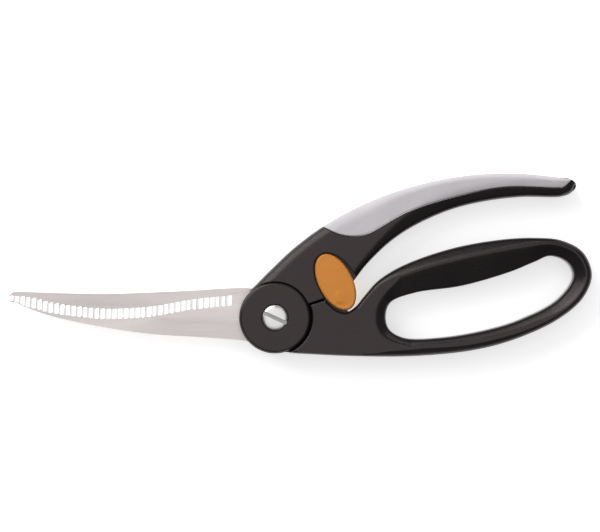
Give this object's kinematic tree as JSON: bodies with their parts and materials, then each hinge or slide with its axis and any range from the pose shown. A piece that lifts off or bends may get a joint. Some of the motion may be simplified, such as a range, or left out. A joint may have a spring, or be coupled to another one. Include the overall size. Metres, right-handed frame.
{
  "type": "poultry shears",
  "caption": "Poultry shears with two curved blades, one finely serrated, an open thumb lever with a soft inlay, a closed finger loop, a screw pivot and an oval turning lock.",
  "frame": {"origin": "on the pivot's axis, in the plane of the rear faces that the shears lie on, at the centre of the blind nut's flat end", "axes": "+X from the pivot to the handles' ends, +Y from the finger loop towards the thumb lever, +Z through the thickness, out of the face with the screw head"},
  "size_m": [0.2522, 0.079, 0.0191],
  "materials": {
    "black_plastic": "fine moulded grain, satin",
    "grey_softgrip": "matte soft-touch moulding",
    "orange_plastic": "satin moulded plastic",
    "blade_steel": "satin ground stainless steel with a bright ground serrated band",
    "bright_steel": "bright turned steel",
    "spring_steel": "drawn wire and strip",
    "nylon": "natural nylon"
  },
  "bodies": {
    "loop_half": {"lower_handle": "black_plastic", "upper_blade": "blade_steel", "rear_pivot_cap": "black_plastic", "pivot_screw": "bright_steel", "pivot_nut": "bright_steel", "head_washer": "bright_steel", "spring_washer": "spring_steel", "catch_pin": "bright_steel", "torsion_spring": "spring_steel"},
    "lever_half": {"upper_handle": "black_plastic", "upper_grip": "grey_softgrip", "lower_blade": "blade_steel", "front_pivot_cap": "black_plastic", "spring_sleeve": "nylon", "lock_washer": "spring_steel"},
    "lock": {"lock_front_button": "orange_plastic", "lock_rear_button": "orange_plastic", "lock_hook": "spring_steel", "lock_axle": "bright_steel", "lock_screw": "bright_steel"}
  },
  "joints": [
    {"name": "blade_pivot", "type": "hinge", "parent": "loop_half", "child": "lever_half", "pos_m": [0, 0, 0.009], "axis": [0, 0, 1], "range_deg": [0, 32], "stiffness_Nm_per_rad": 0.6, "springref_deg": 42.97, "deforming": ["torsion_spring"]},
    {"name": "lock_turn", "type": "hinge", "parent": "lever_half", "child": "lock", "pos_m": [0.0223, 0.0227, 0.009], "axis": [0, 0, 1], "range_deg": [0, 8]}
  ]
}
